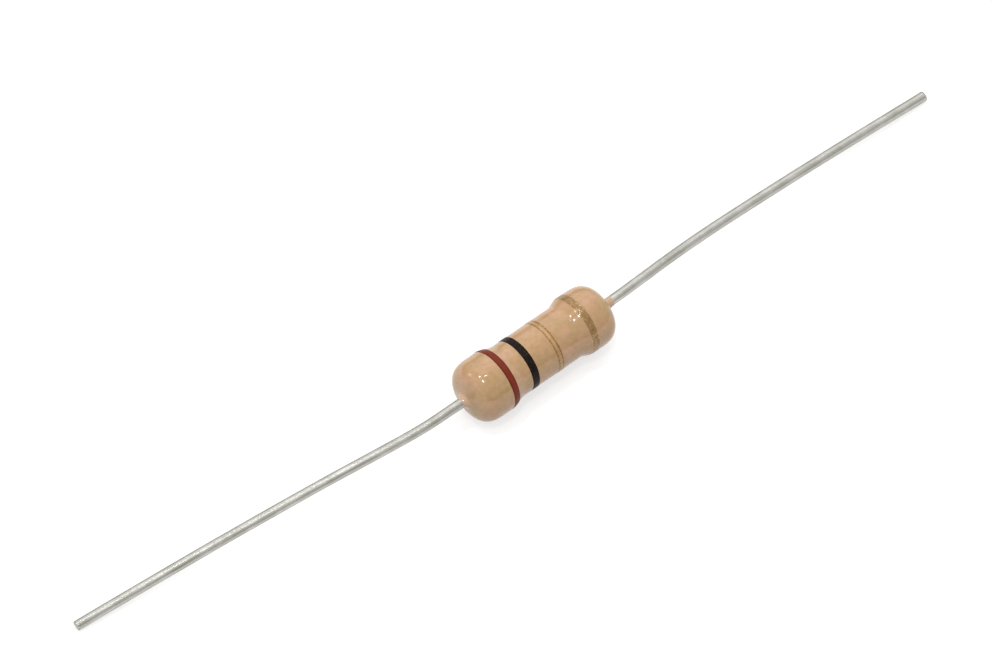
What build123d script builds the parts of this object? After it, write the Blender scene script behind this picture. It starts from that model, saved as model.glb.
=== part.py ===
from build123d import *

import math
import os

# A film resistor with axial leads, lying at rest on its wider bulge and on both lead tips.
#
# Millimetres, +Z up. X runs along the body, with the left end at -X, and Z = 0 is the surface that
# it lies on. Each piece is made with X = 0 at the middle of the body and Y = 0 on its axis. At the
# end all of them are moved together, so that the origin is under the middle of the whole resistor.

# Core: a ceramic rod with a carbon film baked on it
rod_d = 2.90
rod_length = 9.20
film_skin = 0.05
groove_width = 0.28         # the spiral cut that trims the film to its value
groove_pitch = 1.30
groove_turns = 3.0

# End caps: drawn cups pressed over the ends of the filmed rod
cap_depth = 1.75            # the length of film that each one covers
cap_wall = 0.22
cap_floor = 0.25
cap_corner = 0.15

# Coating: a hard epoxy skin, whose thickness over each part of the core gives the body its form
waist_skin = 0.29           # over the film, between the caps
left_bulge_skin = 0.36      # round the caps; each bulge is widest beside its dome
right_bulge_skin = 0.31
end_skin = 0.635            # over the caps' end faces
dome_length = 1.58          # the rounded part at each end
dome_face_d = 1.20          # the nearly flat middle of each dome
bulge_length = 0.73
bulge_fall = 0.04           # how much smaller in radius a bulge is where its shoulder starts
left_shoulder = 1.15        # the slope from a bulge down to the waist
right_shoulder = 0.80
left_meniscus = 0.40        # how far the coating climbs each wire
right_meniscus = 0.74
meniscus_skin = 0.05        # its thickness on the wire
curve_handle = 0.36         # the handles of the curved parts, as a share of their length

# Leads: tinned copper wire, welded to the caps
lead_d = 0.64
weld_d = 1.10               # the upset foot of each lead
weld_height = 0.30
tip_rounding = 0.07
smooth_share = 0.45         # how much of the shorter run each bend takes

# Each lead's bends and its tip: how far beyond the coating's end, how far sideways along Y, and
# the share of the way down from the body's axis to where the tip lies on the surface
left_bends = [(3.3, 0, 0), (6.4, 0.44, 0.11), (10.8, 1.16, 0.30), (20.5, 2.45, 0.69), (28.1, 3.30, 1)]
right_bends = [(1.9, 0, 0), (6.9, 0.37, 0.125), (12.7, 0.48, 0.345), (19.7, 0.54, 0.665), (26.5, 0.53, 1)]

# Colour bands: where the middle of each one is along X, and its width
ink_skin = 0.03             # less than bulge_fall, so that no ink touches what the body lies on
bands = {
    "band_1_brown": (-3.00, 0.47),
    "band_2_black": (-1.28, 0.47),
    "band_3_gold": (0.70, 0.43),
    "band_4_gold": (3.30, 0.43),
}

core_d = rod_d + 2 * film_skin
cap_d = core_d + 2 * cap_wall
cap_face_x = rod_length / 2 + cap_floor
half_length = cap_face_x + end_skin
waist_d = core_d + 2 * waist_skin
left_bulge_d = cap_d + 2 * left_bulge_skin
right_bulge_d = cap_d + 2 * right_bulge_skin
axis_z = max(left_bulge_d, right_bulge_d) / 2


def on_axis(shape):
    """A solid made round the X axis, lifted to the height of the body's axis."""
    return Pos(0, 0, axis_z) * shape


def rod_along_x(diameter, start_x, end_x):
    middle = Pos((start_x + end_x) / 2, 0, 0)
    return middle * Rot(0, 90, 0) * Cylinder(diameter / 2, end_x - start_x)


def coating_section(extra=0.0):
    """Half of the coating's outline, from the X axis out, with extra added to every radius."""
    left_r = left_bulge_d / 2 + extra
    right_r = right_bulge_d / 2 + extra
    waist_r = waist_d / 2 + extra
    face_r = dome_face_d / 2 + extra
    skin_r = lead_d / 2 + meniscus_skin + extra

    def half(side, bulge_r, shoulder, meniscus):
        """One end's outline, from the axis at its tip to the edge of the waist."""
        end = side * half_length
        tip = end + side * meniscus
        dome_x = end - side * dome_length
        shoulder_x = dome_x - side * bulge_length
        shoulder_r = bulge_r - bulge_fall
        waist_x = shoulder_x - side * shoulder
        climb = side * (face_r - skin_r)
        return [
            Line((tip, 0), (tip, skin_r)),
            Line((tip, skin_r), (end + climb, skin_r)),
            Bezier((end + climb, skin_r), (end, skin_r), (end, face_r)),
            Bezier((end, face_r), (end, bulge_r), (dome_x + side * curve_handle * dome_length, bulge_r),
                   (dome_x, bulge_r)),
            Line((dome_x, bulge_r), (shoulder_x, shoulder_r)),
            Bezier((shoulder_x, shoulder_r), (shoulder_x - side * curve_handle * shoulder, shoulder_r),
                   (waist_x + side * curve_handle * shoulder, waist_r), (waist_x, waist_r)),
        ]

    left = half(-1, left_r, left_shoulder, left_meniscus)
    right = half(1, right_r, right_shoulder, right_meniscus)
    waist = Line(left[-1] @ 1, right[-1] @ 1)
    axis = Line(left[0] @ 0, right[0] @ 0)
    return make_face(Curve() + [*left, *right, waist, axis])


def lead_path(side, bends):
    """The wire's centre line, from its cap: straight runs joined by arcs as large as the runs allow."""
    drop = axis_z - lead_d / 2
    points = [Vector(side * cap_face_x, 0, axis_z)]
    points += [Vector(side * (half_length + out), y, axis_z - share * drop) for out, y, share in bends]
    runs = [b - a for a, b in zip(points, points[1:])]
    radii = []
    for before, after in zip(runs, runs[1:]):
        half_turn = math.radians(before.get_angle(after)) / 2
        radii.append(smooth_share * min(before.length, after.length) / math.tan(half_turn))
    return FilletPolyline(*points, radius=radii)


def weld_foot(side):
    """The cone that the wire's end is upset into, on the cap's face."""
    foot = Cone(weld_d / 2, lead_d / 2, weld_height)
    return Pos(side * (cap_face_x + weld_height / 2), 0, 0) * Rot(0, side * 90, 0) * foot


def cap_block(side):
    """A cap's outer form as a solid block, with its outer rim rounded."""
    inner_x, outer_x = sorted((side * (rod_length / 2 - cap_depth), side * cap_face_x))
    block = rod_along_x(cap_d, inner_x, outer_x)
    rim = block.edges().filter_by(GeomType.CIRCLE).sort_by(lambda edge: side * edge.center().X)[-1]
    return fillet(rim, cap_corner)


def make_lead(side, bends):
    path = lead_path(side, bends)
    wire = sweep(Plane(path @ 0, z_dir=path % 0) * Circle(lead_d / 2), path=path)
    tip_edge = wire.edges().sort_by(lambda edge: side * edge.center().X)[-1]
    wire = fillet(tip_edge, tip_rounding)
    return wire + on_axis(weld_foot(side))


def make_cap(side):
    return on_axis(cap_block(side) - rod_along_x(core_d, -rod_length / 2, rod_length / 2))


def make_film():
    """The carbon film: a thin tube, with the spiral trimming cut between the caps."""
    tube = rod_along_x(core_d, -rod_length / 2, rod_length / 2)
    length = groove_turns * groove_pitch
    middle_r = rod_d / 2 + film_skin / 2
    spiral = Helix(groove_pitch, length, middle_r)
    start = Plane(spiral @ 0, x_dir=(1, 0, 0), z_dir=spiral % 0)
    cutter = sweep(start * Rectangle(3 * film_skin, groove_width), path=spiral, is_frenet=True)
    tube -= Pos(-length / 2, 0, 0) * Rot(0, 90, 0) * cutter
    return on_axis(tube - rod_along_x(rod_d, -rod_length / 2, rod_length / 2))


def make_coating():
    """The epoxy skin: its outer form, less everything that it was moulded round."""
    skin = revolve(coating_section(), Axis.X)
    skin -= rod_along_x(core_d, -rod_length / 2, rod_length / 2)
    for side in (-1, 1):
        skin -= cap_block(side)
        past_meniscus = half_length + max(left_meniscus, right_meniscus) + lead_d
        wire_near, wire_far = sorted((side * cap_face_x, side * past_meniscus))
        skin -= rod_along_x(lead_d, wire_near, wire_far)
        skin -= weld_foot(side)
    return on_axis(skin)


def make_band(centre_x, width):
    """A ring of ink on the coating, following its outline."""
    reach = cap_d
    window = Pos(centre_x, reach / 2) * Rectangle(width, reach)
    section = (coating_section(ink_skin) & window) - coating_section()
    return on_axis(revolve(section, Axis.X))


nodes = {
    "ceramic_rod": on_axis(rod_along_x(rod_d, -rod_length / 2, rod_length / 2)),
    "carbon_film": make_film(),
    "end_cap_left": make_cap(-1),
    "end_cap_right": make_cap(1),
    "lead_left": make_lead(-1, left_bends),
    "lead_right": make_lead(1, right_bends),
    "epoxy_coating": make_coating(),
}
for name, (centre_x, width) in bands.items():
    nodes[name] = make_band(centre_x, width)

middle = Compound(children=[shape.moved(Location()) for shape in nodes.values()]).bounding_box().center()
to_origin = Pos(-middle.X, -middle.Y, 0)

os.makedirs("parts", exist_ok=True)
for name, shape in nodes.items():
    export_step(to_origin * shape, f"parts/{name}.step")
    print(name, round(shape.volume, 4), "mm3")
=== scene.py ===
# %% [markdown]
# # An axial resistor in Blender
# A carbon-film resistor is a ceramic rod in a skin of tan epoxy, with four printed rings and a
# tinned wire out of each end. The frame holds its pieces at their real size. This lesson gives
# what shows of it the surface of the real thing: lumpy cast epoxy, stamped ink and drawn wire.

# %% Load the frame
import math

import bmesh
import bpy
from mathutils import Matrix, Vector, noise


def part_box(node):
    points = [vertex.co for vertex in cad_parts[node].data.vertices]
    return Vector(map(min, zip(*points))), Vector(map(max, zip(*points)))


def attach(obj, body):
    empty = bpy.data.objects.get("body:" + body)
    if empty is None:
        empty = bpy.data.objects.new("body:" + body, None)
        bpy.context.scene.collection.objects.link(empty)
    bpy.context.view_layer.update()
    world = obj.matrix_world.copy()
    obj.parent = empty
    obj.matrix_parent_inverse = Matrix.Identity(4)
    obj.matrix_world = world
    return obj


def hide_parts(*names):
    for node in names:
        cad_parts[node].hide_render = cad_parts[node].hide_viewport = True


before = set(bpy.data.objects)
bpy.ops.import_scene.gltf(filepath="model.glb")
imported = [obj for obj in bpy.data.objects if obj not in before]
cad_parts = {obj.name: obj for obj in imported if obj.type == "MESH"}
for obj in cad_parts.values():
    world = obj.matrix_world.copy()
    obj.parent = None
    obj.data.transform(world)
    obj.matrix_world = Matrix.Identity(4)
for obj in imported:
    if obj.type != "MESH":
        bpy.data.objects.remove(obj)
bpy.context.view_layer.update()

MM = 0.001
print("frame nodes:", sorted(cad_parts))

# %% [markdown]
# ## Sizes
# The frame's boxes give the body's axis, its bulges and the wire. Only the outline of the epoxy
# between those sizes is written here, as lengths in millimetres along the body.


# %% Read the driving sizes from the frame
def middle_of(node):
    low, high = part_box(node)
    return (low + high) / 2


def size_of(node):
    low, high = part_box(node)
    return high - low


BODY_MIDDLE = middle_of("ceramic_rod")          # a point on the axis, halfway along the body
LEFT_BULGE_R = size_of("epoxy_coating").z / 2
RIGHT_BULGE_R = LEFT_BULGE_R - 0.05 * MM
CAP_FACE = size_of("ceramic_rod").x / 2 + 0.25 * MM
WIRE_R = 0.32 * MM
WAIST_R = 1.79 * MM
BODY_HALF = 5.485 * MM                          # from the middle to the tip of each dome
DOME = 1.58 * MM
DOME_POWER = 3.0                                # above 2, so a dome is blunter than a ball
LEFT_FACE_R, RIGHT_FACE_R = 0.78 * MM, 0.50 * MM  # where a dome turns out along the wire
LEFT_CLIMB, RIGHT_CLIMB = 0.34 * MM, 0.16 * MM    # how long that turn is
BULGE = 0.62 * MM
LEFT_SHOULDER, RIGHT_SHOULDER = 1.26 * MM, 0.92 * MM
LEFT_COLLAR, RIGHT_COLLAR = 0.40 * MM, 0.74 * MM
COLLAR_SKIN = 0.032 * MM
print("bulge radius, mm:", round(LEFT_BULGE_R / MM, 3))

# %% [markdown]
# ## Helpers for materials
# A colour is written as its sRGB hex value, as a picker shows it. Shaders want linear light, so one
# function turns it. One more adds a node with its settings and links, which keeps each material
# short enough to read as a recipe.


# %% Colour and node helpers
BLACK, WHITE = (0, 0, 0, 1), (1, 1, 1, 1)


def linear(hex_colour):
    """An sRGB hex value as linear red, green, blue and alpha."""
    channels = [int(hex_colour[i:i + 2], 16) / 255 for i in (1, 3, 5)]
    return (*[c / 12.92 if c <= 0.04045 else ((c + 0.055) / 1.055) ** 2.4 for c in channels], 1.0)


def add(tree, kind, inputs, stops=(), **settings):
    """Adds a node and gives its outputs. An input takes a value or another node's output."""
    node = tree.nodes.new(kind)
    for name, value in settings.items():
        setattr(node, name, value)
    for name, value in inputs.items():
        if isinstance(value, bpy.types.NodeSocket):
            tree.links.new(value, node.inputs[name])
        else:
            node.inputs[name].default_value = value
    if stops:                                   # (place, colour) pairs, where the node has a ramp
        elements = node.color_ramp.elements
        elements[0].position, elements[0].color = stops[0]
        elements[1].position, elements[1].color = stops[-1]
        for place, colour in stops[1:-1]:
            elements.new(place).color = colour
    return node.outputs


def new_material(name):
    material = bpy.data.materials.new(name)
    material.use_nodes = True
    tree = material.node_tree
    shader = tree.nodes["Principled BSDF"]
    return material, tree, shader


def per_mm(width):
    """The texture scale whose features are about that many millimetres wide."""
    return 1 / (width * MM)


print("mid grey in linear light:", round(linear("#808080")[0], 3))

# %% [markdown]
# ## Epoxy
# The skin is a filled tan epoxy, dipped and baked. Baking leaves it glossy but not flat: it has
# long soft lumps, which the mesh has, and blotches where filler and resin parted, some pinker and
# some greener. A low roughness gives the sharp lamp glints, and a faint bump breaks their edges.

# %% Cast epoxy
BLOTCH_MM, FILLER_MM, PEEL_MM = 1.3, 0.32, 0.45


def skin_thinness(tree, place):
    """1 where the epoxy is thin on a wire, and 0 on the body."""
    off_axis = add(tree, "ShaderNodeVectorMath", {0: place, 1: BODY_MIDDLE}, operation="SUBTRACT")["Vector"]
    across = add(tree, "ShaderNodeVectorMath", {0: off_axis, 1: (0, 1 / MM, 1 / MM)}, operation="MULTIPLY")
    radius = add(tree, "ShaderNodeVectorMath", {0: across["Vector"]}, operation="LENGTH")["Value"]
    return add(tree, "ShaderNodeValToRGB", {"Fac": radius}, stops=[(0.36, WHITE), (0.66, BLACK)])["Color"]


def cast_epoxy():
    """Baked filled epoxy: a warm, blotchy tan under a hard gloss."""
    material, tree, shader = new_material("cast_tan_epoxy")
    place = add(tree, "ShaderNodeTexCoord", {})["Object"]
    blotch = add(tree, "ShaderNodeTexNoise",
                 {"Vector": place, "Scale": per_mm(BLOTCH_MM), "Detail": 3.0, "Roughness": 0.55})["Fac"]
    fine = add(tree, "ShaderNodeTexNoise",
               {"Vector": place, "Scale": per_mm(FILLER_MM), "Detail": 5.0, "Roughness": 0.65})["Fac"]
    tan = add(tree, "ShaderNodeValToRGB", {"Fac": blotch}, stops=[
        (0.34, linear("#b7966a")), (0.50, linear("#be9870")), (0.66, linear("#c59b79"))])["Color"]
    tone = add(tree, "ShaderNodeValToRGB", {"Fac": fine}, stops=[
        (0.36, linear("#dfd9cf")), (0.62, linear("#ffffff"))])["Color"]
    toned = add(tree, "ShaderNodeMix", {0: 0.35, 6: tan, 7: tone}, data_type="RGBA", blend_type="MULTIPLY")[2]
    paler = add(tree, "ShaderNodeMath", {0: skin_thinness(tree, place), 1: 0.7}, operation="MULTIPLY")[0]
    colour = add(tree, "ShaderNodeMix", {0: paler, 6: toned, 7: linear("#d2b39a")}, data_type="RGBA")[2]
    tree.links.new(colour, shader.inputs["Base Color"])
    peel = add(tree, "ShaderNodeTexNoise",
               {"Vector": place, "Scale": per_mm(PEEL_MM), "Detail": 2.0, "Roughness": 0.55})["Fac"]
    bump = add(tree, "ShaderNodeBump", {"Height": peel, "Strength": 0.04, "Distance": 0.03 * MM})
    tree.links.new(bump["Normal"], shader.inputs["Normal"])
    shader.inputs["Roughness"].default_value = 0.13
    shader.inputs["IOR"].default_value = 1.52
    return material


EPOXY = cast_epoxy()
print(EPOXY.name, "nodes:", len(EPOXY.node_tree.nodes))

# %% [markdown]
# ## Printed ink
# A rubber wheel rolls each ring on. The ink is squeezed to the edges of the print, so an edge is
# darker than the middle. The map on a ring runs round it in U and across it in V, and the
# distance from the ring's centre line in V drives the darker edges.

# %% Ink for the brown and the black ring
SPECKLE_MM = 0.16


def edge_share(tree):
    """0 on a ring's centre line and 1 at its edges."""
    uv = add(tree, "ShaderNodeUVMap", {}, uv_map="print")["UV"]
    across = add(tree, "ShaderNodeSeparateXYZ", {"Vector": uv})["Y"]
    centred = add(tree, "ShaderNodeMath", {0: across, 1: 0.5}, operation="SUBTRACT")[0]
    apart = add(tree, "ShaderNodeMath", {0: centred}, operation="ABSOLUTE")[0]
    return add(tree, "ShaderNodeMath", {0: apart, 1: 2.0}, operation="MULTIPLY")[0]


def plain_ink(name, middle, edge, worn, roughness, gloss):
    """Rolled-on ink: nearly matt, with darker edges and pale specks where it is worn."""
    material, tree, shader = new_material(name)
    place = add(tree, "ShaderNodeTexCoord", {})["Object"]
    body = add(tree, "ShaderNodeValToRGB", {"Fac": edge_share(tree)}, stops=[
        (0.55, linear(middle)), (0.96, linear(edge))])["Color"]
    speckle = add(tree, "ShaderNodeTexNoise",
                  {"Vector": place, "Scale": per_mm(SPECKLE_MM), "Detail": 5.0, "Roughness": 0.7})["Fac"]
    wear = add(tree, "ShaderNodeValToRGB", {"Fac": speckle}, stops=[(0.50, BLACK), (0.74, WHITE)])["Color"]
    worn_share = add(tree, "ShaderNodeMath", {0: wear, 1: 0.55}, operation="MULTIPLY")[0]
    colour = add(tree, "ShaderNodeMix", {0: worn_share, 6: body, 7: linear(worn)}, data_type="RGBA")[2]
    tree.links.new(colour, shader.inputs["Base Color"])
    bump = add(tree, "ShaderNodeBump", {"Height": speckle, "Strength": 0.15, "Distance": 0.02 * MM})
    tree.links.new(bump["Normal"], shader.inputs["Normal"])
    shader.inputs["Roughness"].default_value = roughness
    shader.inputs["Specular IOR Level"].default_value = gloss
    return material


BROWN_INK = plain_ink("brown_ink", "#782c1b", "#56180d", "#893b27", roughness=0.42, gloss=0.12)
BLACK_INK = plain_ink("black_ink", "#1b1310", "#100a08", "#473c33", roughness=0.40, gloss=0.08)
print("plain inks:", BROWN_INK.name, BLACK_INK.name)

# %% [markdown]
# Gold ink is bronze flake in a clear binder. Each flake is a tiny mirror at its own tilt: Voronoi
# cells give every flake one shade and one tilt. Real flakes are 0.01 to 0.03 mm, too fine to show,
# so they are drawn at 0.07 mm.

# %% Ink for the gold rings
FLAKE_MM, CLOUD_MM = 0.07, 0.5


def flake_ink(name, middle, edge, glint, metal, edge_from, fade_from):
    """Bronze ink whose flakes thin out over the outer part of the print, where the epoxy shows."""
    material, tree, shader = new_material(name)
    place = add(tree, "ShaderNodeTexCoord", {})["Object"]
    flake = add(tree, "ShaderNodeTexVoronoi", {"Vector": place, "Scale": per_mm(FLAKE_MM)})["Color"]
    shade = add(tree, "ShaderNodeSeparateColor", {"Color": flake})
    cloud = add(tree, "ShaderNodeTexNoise",
                {"Vector": place, "Scale": per_mm(CLOUD_MM), "Detail": 3.0, "Roughness": 0.55})["Fac"]
    edges = edge_share(tree)
    binder = add(tree, "ShaderNodeValToRGB", {"Fac": edges}, stops=[
        (edge_from, linear(middle)), (edge_from + 0.25, linear(edge))])["Color"]
    patchy = add(tree, "ShaderNodeValToRGB", {"Fac": cloud}, stops=[
        (0.35, linear("#d2cfc0")), (0.65, linear("#ffffff"))])["Color"]
    body = add(tree, "ShaderNodeMix", {0: 0.8, 6: binder, 7: patchy}, data_type="RGBA",
               blend_type="MULTIPLY")[2]
    sparkle = add(tree, "ShaderNodeValToRGB", {"Fac": shade["Red"]}, stops=[(0.60, BLACK), (0.95, WHITE)])
    bright = add(tree, "ShaderNodeMath", {0: sparkle["Color"], 1: 0.45}, operation="MULTIPLY")[0]
    inked = add(tree, "ShaderNodeMix", {0: bright, 6: body, 7: linear(glint)}, data_type="RGBA")[2]
    ragged = add(tree, "ShaderNodeMath", {0: shade["Blue"], 1: 0.12}, operation="MULTIPLY")[0]
    thin = add(tree, "ShaderNodeMath", {0: edges, 1: ragged}, operation="ADD")[0]
    bare = add(tree, "ShaderNodeValToRGB", {"Fac": thin}, stops=[(fade_from, BLACK), (1.06, WHITE)])["Color"]
    colour = add(tree, "ShaderNodeMix", {0: bare, 6: inked, 7: linear("#be9870")}, data_type="RGBA")[2]
    tree.links.new(colour, shader.inputs["Base Color"])
    metallic = add(tree, "ShaderNodeMath", {0: sparkle["Color"], 1: metal}, operation="MULTIPLY")[0]
    tree.links.new(metallic, shader.inputs["Metallic"])
    bump = add(tree, "ShaderNodeBump", {"Height": shade["Green"], "Strength": 0.30, "Distance": 0.02 * MM})
    tree.links.new(bump["Normal"], shader.inputs["Normal"])
    shader.inputs["Roughness"].default_value = 0.28
    shader.inputs["IOR"].default_value = 1.5
    return material


THIN_GOLD_INK = flake_ink("thin_gold_ink", "#bd9666", "#8f6433", "#d2ab75",
                          metal=0.4, edge_from=0.30, fade_from=0.86)
GOLD_INK = flake_ink("gold_ink", "#a07642", "#8d6a3c", "#c9bea2", metal=0.9, edge_from=0.50, fade_from=0.74)
print("flake inks:", THIN_GOLD_INK.name, GOLD_INK.name)

# %% [markdown]
# ## Tinned copper
# The wire is drawn through a die and then tinned. The die leaves fine lines along it, and the tin
# dulls in patches. The wire's map runs along it in U and round it in V, so noise that is long in U
# and short in V makes the lines.

# %% Drawn and tinned wire
LINE_WIDTH_MM, LINE_LENGTH_MM = 0.07, 4.0
DULL_MM, PIT_MM = 1.1, 0.09


def tinned_copper():
    """Dull tin over drawn copper: a soft grey shine with faint lines along the wire."""
    material, tree, shader = new_material("tinned_copper")
    place = add(tree, "ShaderNodeTexCoord", {})["Object"]
    uv = add(tree, "ShaderNodeUVMap", {}, uv_map="wire")["UV"]
    drawn = add(tree, "ShaderNodeMapping",
                {"Vector": uv, "Scale": (1 / LINE_LENGTH_MM, 1 / LINE_WIDTH_MM, 1)})["Vector"]
    lines = add(tree, "ShaderNodeTexNoise", {"Vector": drawn, "Scale": 1.0, "Detail": 3.0})["Fac"]
    dull = add(tree, "ShaderNodeTexNoise",
               {"Vector": place, "Scale": per_mm(DULL_MM), "Detail": 5.0, "Roughness": 0.6})["Fac"]
    pits = add(tree, "ShaderNodeTexNoise",
               {"Vector": place, "Scale": per_mm(PIT_MM), "Detail": 3.0, "Roughness": 0.6})["Fac"]
    tin = add(tree, "ShaderNodeValToRGB", {"Fac": dull}, stops=[
        (0.35, linear("#b9b8b0")), (0.65, linear("#cbcac5"))])["Color"]
    streak = add(tree, "ShaderNodeValToRGB", {"Fac": lines}, stops=[
        (0.35, linear("#d6d5d0")), (0.55, linear("#ffffff"))])["Color"]
    colour = add(tree, "ShaderNodeMix", {0: 0.6, 6: tin, 7: streak}, data_type="RGBA",
                 blend_type="MULTIPLY")[2]
    tree.links.new(colour, shader.inputs["Base Color"])
    rough = add(tree, "ShaderNodeMapRange", {"Value": dull, "To Min": 0.34, "To Max": 0.50})["Result"]
    tree.links.new(rough, shader.inputs["Roughness"])
    shallow = add(tree, "ShaderNodeMath", {0: pits, 1: 0.15}, operation="MULTIPLY")[0]
    height = add(tree, "ShaderNodeMath", {0: lines, 1: shallow}, operation="ADD")[0]
    bump = add(tree, "ShaderNodeBump", {"Height": height, "Strength": 0.16, "Distance": 0.012 * MM})
    tree.links.new(bump["Normal"], shader.inputs["Normal"])
    shader.inputs["Metallic"].default_value = 1.0
    shader.inputs["Specular Tint"].default_value = linear("#c4c2bc")
    return material


TINNED_COPPER = tinned_copper()
print(TINNED_COPPER.name, "nodes:", len(TINNED_COPPER.node_tree.nodes))

# %% [markdown]
# ## What is sealed inside
# The rod, the film and the caps keep their frame meshes. Nobody sees them until the body is cut
# open, and they still get their own finish: fired ceramic, soot-black carbon, and drawn plated cups.

# %% Finishes of the core
GRAIN_MM, SOOT_MM, DRAW_LINE_MM = 0.12, 0.5, 0.06


def fired_ceramic():
    """Fired and unglazed: chalky white, with no shine."""
    material, tree, shader = new_material("fired_ceramic")
    place = add(tree, "ShaderNodeTexCoord", {})["Object"]
    grain = add(tree, "ShaderNodeTexNoise",
                {"Vector": place, "Scale": per_mm(GRAIN_MM), "Detail": 6.0, "Roughness": 0.55})["Fac"]
    colour = add(tree, "ShaderNodeValToRGB", {"Fac": grain}, stops=[
        (0.3, linear("#e6e1d6")), (0.7, linear("#f3f0e9"))])["Color"]
    tree.links.new(colour, shader.inputs["Base Color"])
    bump = add(tree, "ShaderNodeBump", {"Height": grain, "Strength": 0.2, "Distance": 0.01 * MM})
    tree.links.new(bump["Normal"], shader.inputs["Normal"])
    shader.inputs["Roughness"].default_value = 0.75
    return material


def baked_carbon():
    """A baked film of carbon: near black, with a graphite sheen."""
    material, tree, shader = new_material("baked_carbon")
    place = add(tree, "ShaderNodeTexCoord", {})["Object"]
    cloud = add(tree, "ShaderNodeTexNoise",
                {"Vector": place, "Scale": per_mm(SOOT_MM), "Detail": 5.0, "Roughness": 0.55})["Fac"]
    colour = add(tree, "ShaderNodeValToRGB", {"Fac": cloud}, stops=[
        (0.3, linear("#1b1b1e")), (0.7, linear("#303036"))])["Color"]
    tree.links.new(colour, shader.inputs["Base Color"])
    shader.inputs["Roughness"].default_value = 0.45
    return material


def plated_steel():
    """Drawn steel under bright plating: a clean metal with draw lines round the cup."""
    material, tree, shader = new_material("plated_steel")
    place = add(tree, "ShaderNodeTexCoord", {})["Object"]
    drawn = add(tree, "ShaderNodeMapping", {"Vector": place, "Scale": (1, 0.05, 0.05)})["Vector"]
    lines = add(tree, "ShaderNodeTexNoise",
                {"Vector": drawn, "Scale": per_mm(DRAW_LINE_MM), "Detail": 2.0, "Roughness": 0.55})["Fac"]
    colour = add(tree, "ShaderNodeValToRGB", {"Fac": lines}, stops=[
        (0.35, linear("#b9b6ae")), (0.65, linear("#d2d0ca"))])["Color"]
    tree.links.new(colour, shader.inputs["Base Color"])
    shader.inputs["Metallic"].default_value = 1.0
    shader.inputs["Roughness"].default_value = 0.32
    return material


# %% Give the core its finishes
def finish_node(name, material):
    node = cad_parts[name]
    node.data.materials.clear()
    node.data.materials.append(material)
    print(name, "is finished in", material.name)


finish_node("ceramic_rod", fired_ceramic())
finish_node("carbon_film", baked_carbon())
CAP_METAL = plated_steel()
for cap in ("end_cap_left", "end_cap_right"):
    finish_node(cap, CAP_METAL)

# %% [markdown]
# ## The form of the coating
# Epoxy has no edges of its own: it is drawn round the caps into two bulges, sinks between them and
# creeps up each wire. The outline is a list of short curves from one collar to the other. A dome
# is a superellipse, which is a circle with a higher power, and a shoulder is a smooth step.


# %% The outline of the coating
def smooth_step(t):
    return t * t * (3 - 2 * t)


def end_outline(side, bulge_r, shoulder, collar, face_r, climb):
    """One end's outline as (x, radius) points, from the collar's lip to the waist."""
    skin_r = WIRE_R + COLLAR_SKIN
    tip = BODY_HALF + collar
    points = [(tip, WIRE_R - 0.02 * MM), (tip - 0.01 * MM, WIRE_R + 0.15 * COLLAR_SKIN),
              (tip - 0.08 * MM, WIRE_R + 0.5 * COLLAR_SKIN)]
    for i in range(17):                         # the concave turn from the wire to the dome
        angle = math.pi / 2 * i / 16
        turn_r = face_r - (face_r - skin_r) * math.cos(angle)
        points.append((BODY_HALF + climb * (1 - math.sin(angle)), turn_r))
    face_angle = math.acos((face_r / bulge_r) ** (DOME_POWER / 2))
    for i in range(1, 49):
        angle = face_angle * (1 - i / 48)
        along = math.sin(angle) ** (2 / DOME_POWER) if angle > 0 else 0
        points.append((BODY_HALF - DOME + DOME * along, bulge_r * math.cos(angle) ** (2 / DOME_POWER)))
    shoulder_x = BODY_HALF - DOME - BULGE
    for i in range(33):
        t = i / 32
        points.append((shoulder_x - shoulder * t, bulge_r + (WAIST_R - bulge_r) * smooth_step(t)))
    return [(side * x, r) for x, r in points]


def even_steps(points, step):
    """The same line with points about step apart, so that the mesh is even."""
    lengths = [0.0]
    for a, b in zip(points, points[1:]):
        lengths.append(lengths[-1] + math.dist(a, b))
    count = round(lengths[-1] / step)
    result, k = [], 0
    for i in range(count + 1):
        want = lengths[-1] * i / count
        while k < len(lengths) - 2 and lengths[k + 1] < want:
            k += 1
        t = (want - lengths[k]) / max(lengths[k + 1] - lengths[k], 1e-12)
        result.append(tuple(p + (q - p) * t for p, q in zip(points[k], points[k + 1])))
    return result


left_outline = end_outline(-1, LEFT_BULGE_R, LEFT_SHOULDER, LEFT_COLLAR, LEFT_FACE_R, LEFT_CLIMB)
right_outline = end_outline(1, RIGHT_BULGE_R, RIGHT_SHOULDER, RIGHT_COLLAR, RIGHT_FACE_R, RIGHT_CLIMB)
OUTLINE_STEP = 0.055 * MM
OUTLINE = even_steps(left_outline + right_outline[::-1], OUTLINE_STEP)
print("rings along the coating:", len(OUTLINE))

# %% [markdown]
# ## The surface of the coating
# Every point of the coating and of the ink on it comes from one function of place and angle. It
# adds the long lumps that dipping leaves and the bead that hung from the right collar when the
# epoxy set. The lumps are a few hundredths of a millimetre: enough to bend a reflection.

# %% A point on the coating
LUMP = 0.016 * MM
BEAD_ANGLE = math.radians(-115)                 # seen from the right end, 0 is +Y and 90 is up
BEAD_HEIGHT = 0.075 * MM


def angle_between(a, b):
    return abs((a - b + math.pi) % (2 * math.pi) - math.pi)


def lumps(x, angle, radius):
    """How far the real skin stands off the smooth outline."""
    place = Vector((x, radius * math.cos(angle), radius * math.sin(angle))) / MM
    soft = noise.noise(place * 0.55 + Vector((3.1, 7.7, 1.3)))
    fine = noise.noise(place * 1.6 + Vector((9.2, 0.4, 5.5)))
    share = min(1.0, 2 * radius / MM - 0.5)
    return LUMP * (soft + 0.35 * fine - 0.7) * max(share, 0.2)


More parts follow.
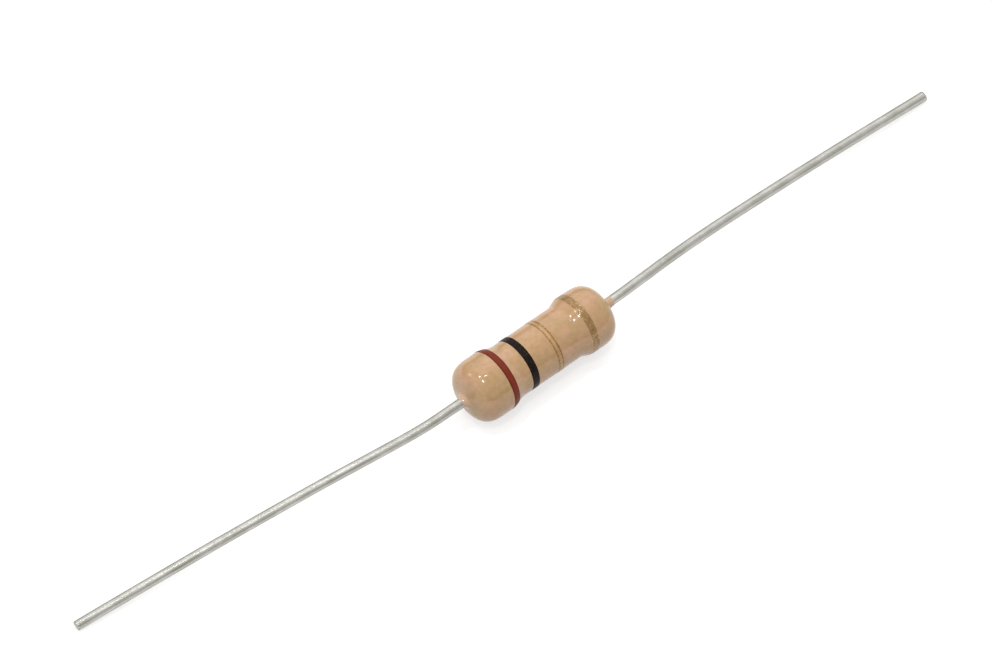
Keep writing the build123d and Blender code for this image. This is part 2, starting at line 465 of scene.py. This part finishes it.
def bead(x, angle):
    """The bead under the right collar."""
    along = (x - BODY_HALF - 0.30 * MM) / (0.16 * MM)
    round_it = angle_between(angle, BEAD_ANGLE) / 0.8
    return BEAD_HEIGHT * math.exp(-along * along - round_it * round_it)


def skin_point(x, radius, angle, raise_by=0.0):
    r = radius + lumps(x, angle, radius) + bead(x, angle) + raise_by
    point = BODY_MIDDLE + Vector((x, r * math.cos(angle), r * math.sin(angle)))
    point.z = max(point.z, 0.0)
    return point


def outline_radius(x):
    """The outline's radius at x, between the domes."""
    for (x0, r0), (x1, r1) in zip(OUTLINE, OUTLINE[1:]):
        if x0 <= x <= x1:
            return r0 + (r1 - r0) * (x - x0) / (x1 - x0)
    raise ValueError("no outline there")


print("waist on top, mm above the surface:", round(skin_point(0, WAIST_R, math.pi / 2).z / MM, 3))

# %% [markdown]
# ## From rings of points to a mesh
# The coating, each ink ring and each wire are all rings of points joined in order, so one function
# builds them. It also writes the map: U runs along the rings in millimetres or in shares, and V
# runs round them or across.


# %% Build a tube of rings
def tube(name, rings, material, uv_name, uv_of, close_ends=True):
    """A mesh from rings of points. uv_of gives the map's (u, v) for a ring and a place on it."""
    mesh = bpy.data.meshes.new(name)
    sides = len(rings[0])
    points = [p for ring in rings for p in ring]
    faces = []
    for i in range(len(rings) - 1):
        for j in range(sides):
            k = (j + 1) % sides
            faces.append((i * sides + j, i * sides + k, (i + 1) * sides + k, (i + 1) * sides + j))
    if close_ends:
        faces.append(tuple(range(sides))[::-1])
        faces.append(tuple((len(rings) - 1) * sides + j for j in range(sides)))
    else:                                       # the last ring joins the first, as on a band
        last = (len(rings) - 1) * sides
        for j in range(sides):
            k = (j + 1) % sides
            faces.append((last + j, last + k, k, j))
    mesh.from_pydata([tuple(p) for p in points], [], faces)
    layer = mesh.uv_layers.new(name=uv_name)
    for face in mesh.polygons:
        columns = [mesh.loops[l].vertex_index % sides for l in face.loop_indices]
        wraps = max(columns) == sides - 1 and min(columns) == 0 and len(columns) == 4
        for loop_index, column in zip(face.loop_indices, columns):
            ring = mesh.loops[loop_index].vertex_index // sides
            place = sides if wraps and column == 0 else column
            layer.data[loop_index].uv = uv_of(ring, place / sides)
    tidy = bmesh.new()
    tidy.from_mesh(mesh)
    bmesh.ops.recalc_face_normals(tidy, faces=tidy.faces)
    tidy.to_mesh(mesh)
    tidy.free()
    mesh.shade_smooth()
    mesh.materials.append(material)
    piece = bpy.data.objects.new(name, mesh)
    bpy.context.scene.collection.objects.link(piece)
    print(name, "triangles:", sum(len(f.vertices) - 2 for f in mesh.polygons))
    return piece


# %% The coating
AROUND = 240
coating_rings = [[skin_point(x, r, 2 * math.pi * j / AROUND) for j in range(AROUND)] for x, r in OUTLINE]
coating = tube("coating", coating_rings, EPOXY, "skin", lambda ring, turn: (ring / len(OUTLINE), turn))
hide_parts("epoxy_coating")
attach(coating, "root")

# %% [markdown]
# ## The printed rings
# A ring is a very thin raised skin on the coating. Its edges wander a little, as a stamp's do, and
# where the printing wheel lifts off the start and the end of the print don't quite meet. The black
# ring shows that seam low on its near side.

# %% Ring shapes
INK_ROOT = 0.02 * MM                            # how far a ring reaches into the coating
EDGE_WANDER = 0.016 * MM
WANDER_RATE = 2.4                               # how quickly an edge wanders on its way round
RING_SIDES = 360
SEAM_LOSS = 0.30                                # the share of the width that a seam leaves bare
SEAM_REACH, STEP_REACH = 0.09, 0.5              # radians round the body


def band_middle(node):
    return middle_of(node).x - BODY_MIDDLE.x


def ring_of_ink(name, node, material, width, thick, shift=0.0, seam=None, seam_step=0.0, seed=0.0):
    """A ring of ink that follows the coating, with wandering edges and a seam."""
    middle = band_middle(node) + shift
    half = width / 2
    left_half = [(0.0, -INK_ROOT), (0.004, 0.5 * thick), (0.03, 0.8 * thick)]
    left_half += [(share, thick) for share in (0.08, 0.22, 0.36)]
    right_half = [(1 - share, height) for share, height in reversed(left_half)]
    rows = left_half + [(0.5, thick)] + right_half + [(0.75, -INK_ROOT), (0.25, -INK_ROOT)]
    rings = []
    for share, height in rows:
        ring = []
        for j in range(RING_SIDES):
            angle = 2 * math.pi * j / RING_SIDES
            around = Vector((math.cos(angle), math.sin(angle), seed)) * WANDER_RATE
            low = -half + EDGE_WANDER * noise.noise(around)
            high = half + EDGE_WANDER * noise.noise(around + Vector((0, 0, 9.0)))
            if seam is not None:
                pinch = math.exp(-(angle_between(angle, seam) / SEAM_REACH) ** 2)
                low += SEAM_LOSS * width * pinch
                step = seam_step if (angle - seam + math.pi) % (2 * math.pi) < math.pi else 0.0
                fade = math.exp(-(angle_between(angle, seam) / STEP_REACH) ** 2)
                low, high = low + step * fade, high + step * fade
            x = middle + low + (high - low) * share
            ring.append(skin_point(x, outline_radius(x), angle, height))
        rings.append(ring)
    piece = tube(name, rings, material, "print", lambda row, turn: (turn, rows[row][0]), close_ends=False)
    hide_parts(node)
    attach(piece, "root")


print("band middles along the body, mm:", [round(band_middle(node) / MM, 2) for node in (
    "band_1_brown", "band_2_black", "band_3_gold", "band_4_gold")])

# %% Print the four rings
INK, GOLD = 0.010 * MM, 0.004 * MM              # the gold is printed much thinner
ring_of_ink("brown_ring", "band_1_brown", BROWN_INK, 0.50 * MM, INK, shift=-0.03 * MM, seed=1.0)
ring_of_ink("black_ring", "band_2_black", BLACK_INK, 0.52 * MM, INK, shift=-0.02 * MM,
            seam=math.radians(-121), seam_step=0.06 * MM, seed=2.0)
ring_of_ink("thin_gold_ring", "band_3_gold", THIN_GOLD_INK, 0.46 * MM, GOLD, seed=3.0)
ring_of_ink("gold_ring", "band_4_gold", GOLD_INK, 0.58 * MM, GOLD, seed=4.0)

# %% [markdown]
# ## The wires
# Each wire is stiff copper that was bent a little on the way here. A NURBS curve of order 3 through
# its bends gives one smooth line. The wire itself is swept by hand along that line, because the
# sweep then carries its own map and can end in a sheared tip, which a curve's bevel can't.

# %% The wires' bends
# How far beyond the dome, how far sideways, and the share of the way down to the surface
LEFT_BENDS = [(0.9, 0, 0), (3.3, 0, 0), (6.4, 0.44, 0.11), (10.8, 1.16, 0.30), (20.5, 2.45, 0.69),
              (28.1, 3.30, 1)]
RIGHT_BENDS = [(0.6, 0.01, 0), (1.9, 0.03, 0), (6.9, 0.37, 0.125), (12.7, 0.48, 0.345), (19.7, 0.54, 0.665),
               (26.5, 0.53, 1)]


def wire_line(side, bends):
    """Points along the wire's smooth centre line, from its cap to its tip."""
    drop = BODY_MIDDLE.z - WIRE_R
    route = [BODY_MIDDLE + Vector((side * CAP_FACE, 0, 0))]
    for out, sideways, share in bends:
        route.append(BODY_MIDDLE + Vector((side * (BODY_HALF + out * MM), sideways * MM, -share * drop)))
    curve = bpy.data.curves.new("wire_line", "CURVE")
    curve.dimensions = "3D"
    spline = curve.splines.new("NURBS")
    spline.points.add(len(route) - 1)
    for knot, place in zip(spline.points, route):
        knot.co = (*place, 1)
    spline.use_endpoint_u = True
    spline.order_u = 3
    spline.resolution_u = 32
    holder = bpy.data.objects.new("wire_line", curve)
    bpy.context.scene.collection.objects.link(holder)
    line = bpy.data.meshes.new_from_object(holder)
    points = [v.co.copy() for v in line.vertices]
    bpy.data.objects.remove(holder)
    bpy.data.meshes.remove(line)
    length = sum((b - a).length for a, b in zip(points, points[1:]))
    print("wire length, mm:", round(length / MM, 2))
    return points


# %% Sweep a wire with a sheared tip
WIRE_SIDES = 40
WIRE_STEP = 0.09 * MM
TIP_ROUND, TIP_STEPS = 0.15 * MM, 5
DENT = 0.010                                    # how uneven the drawn wire is, as a share of its radius
BURR = 0.012 * MM                               # how rough the cut face is


def wire(name, node, side, bends, cut_tilt):
    line = even_steps([tuple(p) for p in wire_line(side, bends)], WIRE_STEP)
    points = [Vector(p) for p in line]
    up = Vector((0, 0, 1))
    rings, travel = [], [0.0]
    for i, point in enumerate(points):
        ahead = points[min(i + 1, len(points) - 1)] - points[max(i - 1, 0)]
        across = up.cross(ahead).normalized()
        over = ahead.cross(across).normalized()
        if i:
            travel.append(travel[-1] + (point - points[i - 1]).length)
        ring = []
        for j in range(WIRE_SIDES):
            angle = 2 * math.pi * j / WIRE_SIDES
            place = Vector((travel[-1] / MM * 0.8, math.cos(angle), math.sin(angle)))
            r = WIRE_R * (1 + DENT * noise.noise(place + Vector((side, 5, 2))))
            ring.append(point + across * (r * math.cos(angle)) + over * (r * math.sin(angle)))
        rings.append(ring)
    tip, back = points[-1], (points[-1] - points[-2]).normalized()
    last = rings[-1]
    rings = rings[:-1]
    travel = travel[:-1]
    for step in range(1, TIP_STEPS + 1):        # the tip turns over, then closes as a rough flat
        turn = math.pi / 2 * step / TIP_STEPS
        shrink = 1 - (1 - math.cos(turn)) * TIP_ROUND / WIRE_R
        forward = -TIP_ROUND * (1 - math.sin(turn))
        rings.append([tip + (p - tip) * shrink + back * (forward + cut_tilt * (p - tip).z) for p in last])
        travel.append(travel[-1] + TIP_ROUND / TIP_STEPS)
    for keep in (0.6, 0.4):
        face = rings[-1]
        centre = sum(face, Vector()) / WIRE_SIDES
        rings.append([centre + (p - centre) * keep + back * BURR * noise.noise(p / MM * 9) for p in face])
        travel.append(travel[-1] + 0.05 * MM)
    girth = 2 * math.pi * WIRE_R / MM
    piece = tube(name, rings, TINNED_COPPER, "wire", lambda ring, turn: (travel[ring] / MM, turn * girth))
    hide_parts(node)
    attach(piece, "root")


wire("left_wire", "lead_left", -1, LEFT_BENDS, cut_tilt=0.18)
wire("right_wire", "lead_right", 1, RIGHT_BENDS, cut_tilt=-0.12)

# %% [markdown]
# ## The floor
# The floor is plain white paper. A camera ray sees it a little brighter than it is lit, so it runs
# out to white and keeps only the soft shadow under the body. Glossy and transmission rays see it
# the same way.

# %% Floor
FLOOR_HALF = 1.5
FLOOR_DROP = -0.004 * MM                        # just under the piece, so that no two faces meet
FLOOR_GREY = "#b4b4b4"
FLOOR_GLOW = 0.64                               # what lifts the grey to white for the camera


def white_floor():
    mesh = bpy.data.meshes.new("floor")
    corners = [(-FLOOR_HALF, -FLOOR_HALF, 0), (FLOOR_HALF, -FLOOR_HALF, 0),
               (FLOOR_HALF, FLOOR_HALF, 0), (-FLOOR_HALF, FLOOR_HALF, 0)]
    mesh.from_pydata(corners, [], [(0, 1, 2, 3)])
    material, tree, shader = new_material("white_paper")
    shader.inputs["Base Color"].default_value = linear(FLOOR_GREY)
    shader.inputs["Roughness"].default_value = 1.0
    shader.inputs["Specular IOR Level"].default_value = 0.0
    path = add(tree, "ShaderNodeLightPath", {})
    seen = path["Is Camera Ray"]
    for ray in ("Is Glossy Ray", "Is Transmission Ray"):
        seen = add(tree, "ShaderNodeMath", {0: seen, 1: path[ray]}, operation="MAXIMUM")[0]
    strength = add(tree, "ShaderNodeMath", {0: seen, 1: FLOOR_GLOW}, operation="MULTIPLY")[0]
    glow = add(tree, "ShaderNodeEmission", {"Strength": strength})
    both = add(tree, "ShaderNodeAddShader", {0: shader.outputs[0], 1: glow[0]})
    tree.links.new(both[0], tree.nodes["Material Output"].inputs["Surface"])
    mesh.materials.append(material)
    floor = bpy.data.objects.new("floor", mesh)
    floor.location.z = FLOOR_DROP
    bpy.context.scene.collection.objects.link(floor)
    print("floor, m across:", 2 * FLOOR_HALF)


white_floor()

# %% [markdown]
# ## Light
# A small shiny thing shows its whole studio. Three small lamps high above leave three glints on the
# near dome and more in the hollow of the far shoulder, and two wider boxes light it from the side
# and the back. The rest is a tent of pale cloth, with a dark foot near the horizon and brighter
# panels beyond both ends and round the camera. A camera ray sees the tent as plain white.

# %% Studio
VIEW_AZIMUTH, VIEW_ELEVATION = math.radians(-40.7), math.radians(52.3)


def direction(azimuth, elevation):
    return Vector((math.sin(azimuth) * math.cos(elevation), -math.cos(azimuth) * math.cos(elevation),
                   math.sin(elevation)))


TO_CAMERA = direction(VIEW_AZIMUTH, VIEW_ELEVATION)
CAMERA_RIGHT = Vector((math.cos(VIEW_AZIMUTH), math.sin(VIEW_AZIMUTH), 0))
CAMERA_UP = TO_CAMERA.cross(CAMERA_RIGHT)


def tent():
    world = bpy.data.worlds.new("tent")
    bpy.context.scene.world = world
    world.use_nodes = True
    tree = world.node_tree
    background = tree.nodes["Background"]
    look = add(tree, "ShaderNodeTexCoord", {})["Generated"]
    split = add(tree, "ShaderNodeSeparateXYZ", {"Vector": look})
    cloth = add(tree, "ShaderNodeValToRGB", {"Fac": split["Z"]}, stops=[
        (0.0, (0.16, 0.16, 0.16, 1)), (0.14, (0.20, 0.20, 0.20, 1)),
        (0.26, (0.62, 0.62, 0.62, 1)), (1.0, (0.69, 0.69, 0.68, 1))])["Color"]
    facing = add(tree, "ShaderNodeVectorMath", {0: look, 1: TO_CAMERA}, operation="DOT_PRODUCT")["Value"]
    panel = add(tree, "ShaderNodeValToRGB", {"Fac": facing}, stops=[
        (0.86, BLACK), (0.95, (0.22, 0.22, 0.21, 1))])["Color"]
    along = add(tree, "ShaderNodeMath", {0: split["X"]}, operation="ABSOLUTE")[0]
    ends = add(tree, "ShaderNodeValToRGB", {"Fac": along}, stops=[
        (0.58, BLACK), (0.88, (0.60, 0.60, 0.60, 1))])["Color"]
    lit = add(tree, "ShaderNodeMix", {0: 1.0, 6: cloth, 7: panel}, data_type="RGBA", blend_type="ADD")[2]
    lit = add(tree, "ShaderNodeMix", {0: 1.0, 6: lit, 7: ends}, data_type="RGBA", blend_type="ADD")[2]
    seen = add(tree, "ShaderNodeLightPath", {})["Is Camera Ray"]
    colour = add(tree, "ShaderNodeMix", {0: seen, 6: lit, 7: WHITE}, data_type="RGBA")[2]
    tree.links.new(colour, background.inputs["Color"])
    background.inputs["Strength"].default_value = 1.0


def lamp(name, aim, distance, size, power):
    data = bpy.data.lights.new(name, "AREA")
    data.shape = "DISK"
    data.size = size
    data.energy = power
    light = bpy.data.objects.new(name, data)
    light.location = BODY_MIDDLE + aim.normalized() * distance
    light.rotation_mode = "QUATERNION"
    light.rotation_quaternion = aim.to_track_quat("Z", "Y")
    bpy.context.scene.collection.objects.link(light)
    print(name, "is", size, "m wide, with", power, "W")


def towards(right, up, out):
    """A direction from the body, as seen by the camera: to its right, up, and out towards it."""
    return (CAMERA_RIGHT * right + CAMERA_UP * up + TO_CAMERA * out).normalized()


tent()
lamp("left_glint_lamp", towards(-0.20, 0.62, 0.76), 0.9, 0.08, 0.95)
lamp("right_glint_lamp", towards(0.18, 0.69, 0.70), 0.9, 0.05, 0.45)
lamp("near_glint_lamp", towards(-0.01, 0.37, 0.93), 0.9, 0.08, 1.00)
lamp("side_box", towards(-0.82, 0.43, 0.37), 1.1, 0.28, 0.8)
lamp("back_box", towards(-0.05, 0.98, 0.17), 1.1, 1.2, 2.6)

# %% [markdown]
# ## Camera
# The resistor is seen from well above and from far away, so it hardly tapers. The camera looks past
# the body's middle by the offset that frames both wire tips.

# %% Camera
CAMERA_DISTANCE = 1.6                           # other views stand further off, inside their far clip
SENSOR_WIDTH = 36.0
VIEW_WIDTH = 60.12 * MM                         # how much the picture spans at the body
LOOK_LEFT, LOOK_UP = 2.30 * MM, 1.72 * MM
camera_data = bpy.data.cameras.new("camera")
camera_data.sensor_width = SENSOR_WIDTH
camera_data.lens = SENSOR_WIDTH * CAMERA_DISTANCE / VIEW_WIDTH
camera_data.clip_start, camera_data.clip_end = 0.05, 10.0
camera = bpy.data.objects.new("camera", camera_data)
looked_at = BODY_MIDDLE - CAMERA_RIGHT * LOOK_LEFT + CAMERA_UP * LOOK_UP
camera.matrix_world = Matrix.Translation(looked_at + TO_CAMERA * CAMERA_DISTANCE) @ Matrix(
    (CAMERA_RIGHT, CAMERA_UP, TO_CAMERA)).transposed().to_4x4()
bpy.context.scene.collection.objects.link(camera)
bpy.context.scene.camera = camera
bpy.context.scene.view_settings.view_transform = "Standard"
print("lens, mm:", round(camera_data.lens, 1))
